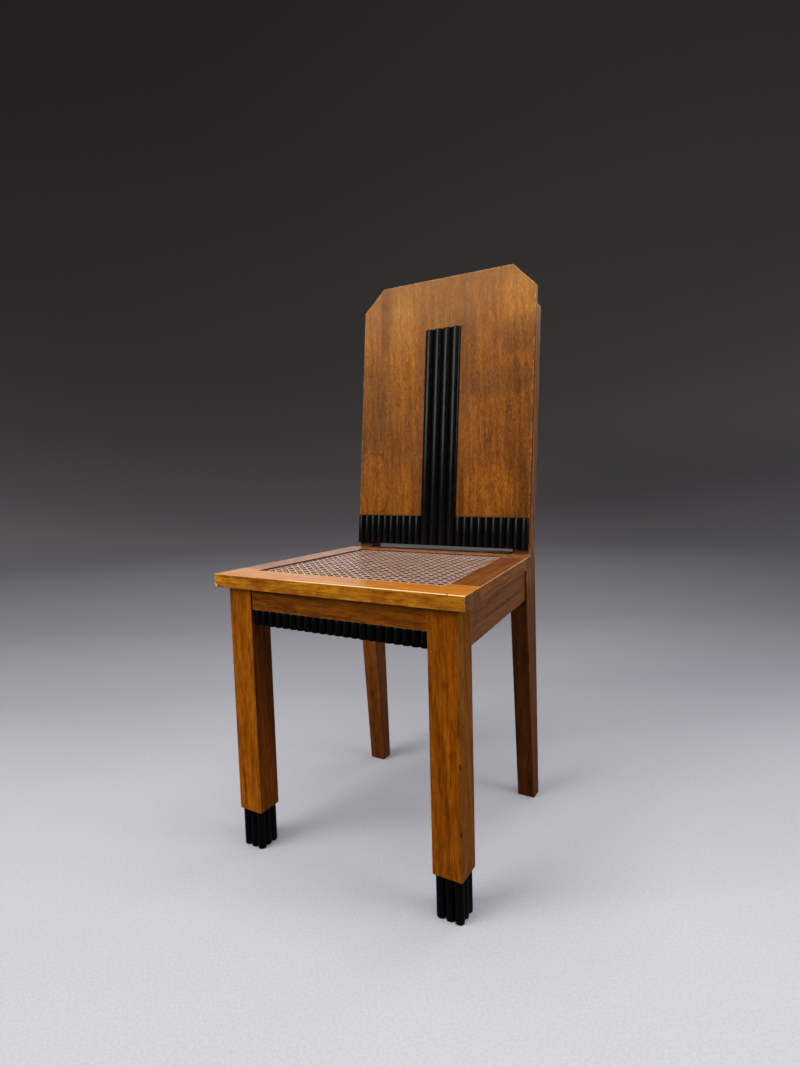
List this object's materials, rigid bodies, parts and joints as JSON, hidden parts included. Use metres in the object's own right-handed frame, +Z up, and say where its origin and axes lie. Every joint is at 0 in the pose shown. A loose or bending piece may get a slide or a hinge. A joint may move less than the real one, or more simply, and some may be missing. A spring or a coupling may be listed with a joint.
{
  "type": "dining chair",
  "caption": "Side chair with a raked panel back, dark half-round reeding, square front legs on lobed feet and a woven cane seat in a wooden frame.",
  "frame": {"origin": "on the floor, at the centre of the chair's overall box", "axes": "+Z up, -Y towards the front edge of the seat, +X towards the sitter's left when seated"},
  "size_m": [0.444, 0.4614, 0.997],
  "materials": {
    "leg_wood": "satin lacquer over straight-grained golden brown hardwood",
    "frame_wood": "satin lacquer over golden brown hardwood, worn pale along the top edges",
    "panel_veneer": "satin lacquer over figured veneer with upright grain",
    "ebonised_wood": "satin black ebonised hardwood",
    "cane": "glossy reddish brown woven cane",
    "block_wood": "bare beech",
    "screw_steel": "plain steel"
  },
  "bodies": {
    "root": {"front_leg_left": "leg_wood", "front_leg_right": "leg_wood", "front_foot_left": "ebonised_wood", "front_foot_right": "ebonised_wood", "rear_leg_left": "leg_wood", "rear_leg_right": "leg_wood", "front_apron": "frame_wood", "side_apron_left": "frame_wood", "side_apron_right": "frame_wood", "rear_apron": "frame_wood", "apron_reeding": "ebonised_wood", "seat_front_rail": "frame_wood", "seat_rear_rail": "frame_wood", "seat_side_rail_left": "frame_wood", "seat_side_rail_right": "frame_wood", "cane_panel": "cane", "cane_spline": "cane", "back_panel": "panel_veneer", "back_reeding_centre": "ebonised_wood", "back_reeding_left": "ebonised_wood", "back_reeding_right": "ebonised_wood", "corner_block_front_left": "block_wood", "corner_block_front_right": "block_wood", "corner_block_rear_left": "block_wood", "corner_block_rear_right": "block_wood", "apron_dowels": "block_wood", "frame_dowels": "block_wood", "foot_dowels": "block_wood", "block_screws": "screw_steel", "seat_screws": "screw_steel", "panel_screws": "screw_steel"}
  },
  "joints": []
}
